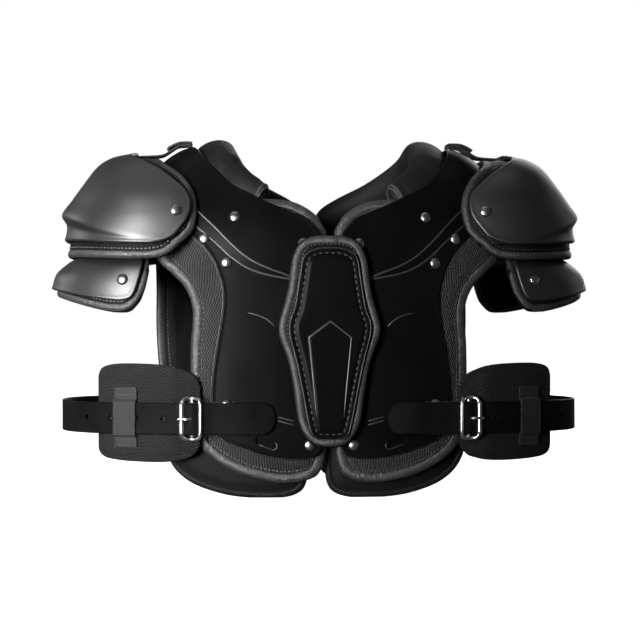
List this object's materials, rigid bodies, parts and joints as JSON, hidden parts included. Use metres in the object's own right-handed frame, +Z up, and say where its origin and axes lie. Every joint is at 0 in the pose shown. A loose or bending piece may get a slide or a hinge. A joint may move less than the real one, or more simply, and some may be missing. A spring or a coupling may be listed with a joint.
{
  "type": "football shoulder pad",
  "caption": "Youth football shoulder pad: black plastic chest, arch and shoulder caps over bound mesh pads, with belts and steel buckles.",
  "frame": {"origin": "middle of the footprint, on the floor under the pads' lower edges", "axes": "+X to the viewer's right across the shoulders, -Y to the chest side, +Z up"},
  "size_m": [0.505, 0.2488, 0.3298],
  "materials": {
    "black_plastic": "satin black moulded plastic",
    "mesh_fabric": "charcoal air mesh with a bound edge",
    "lining_fabric": "smooth dark nylon over foam",
    "webbing": "ribbed black webbing",
    "belt_vinyl": "black coated webbing with a fine rib",
    "steel": "nickel plated, polished"
  },
  "bodies": {
    "root": {"body_shell_left": "black_plastic", "body_pad_left": "mesh_fabric", "lining_pad_left": "lining_fabric", "neck_pad_left": "lining_fabric", "epaulet_shell_left": "black_plastic", "epaulet_pad_left": "mesh_fabric", "cup_shell_left": "black_plastic", "cup_pad_left": "mesh_fabric", "shoulder_strap_left": "webbing", "side_pad_left": "mesh_fabric", "belt_left": "belt_vinyl", "belt_keeper_left": "webbing", "buckle_strap_left": "webbing", "buckle_frame_left": "steel", "buckle_prong_left": "steel", "rivet_collar_left": "steel", "rivet_ridge_left": "steel", "rivet_shoulder_left": "steel", "rivet_sternum_low_left": "steel", "rivet_sternum_high_left": "steel", "rivet_epaulet_left": "steel", "rivet_cup_left": "steel", "rivet_buckle_left": "steel", "body_shell_right": "black_plastic", "body_pad_right": "mesh_fabric", "lining_pad_right": "lining_fabric", "neck_pad_right": "lining_fabric", "epaulet_shell_right": "black_plastic", "epaulet_pad_right": "mesh_fabric", "cup_shell_right": "black_plastic", "cup_pad_right": "mesh_fabric", "shoulder_strap_right": "webbing", "side_pad_right": "mesh_fabric", "belt_right": "belt_vinyl", "belt_keeper_right": "webbing", "buckle_strap_right": "webbing", "buckle_frame_right": "steel", "buckle_prong_right": "steel", "rivet_collar_right": "steel", "rivet_ridge_right": "steel", "rivet_shoulder_right": "steel", "rivet_sternum_low_right": "steel", "rivet_sternum_high_right": "steel", "rivet_epaulet_right": "steel", "rivet_cup_right": "steel", "rivet_buckle_right": "steel", "sternum_pad": "mesh_fabric", "sternum_plate": "black_plastic", "back_strap_1": "webbing", "back_strap_2": "webbing"}
  },
  "joints": []
}
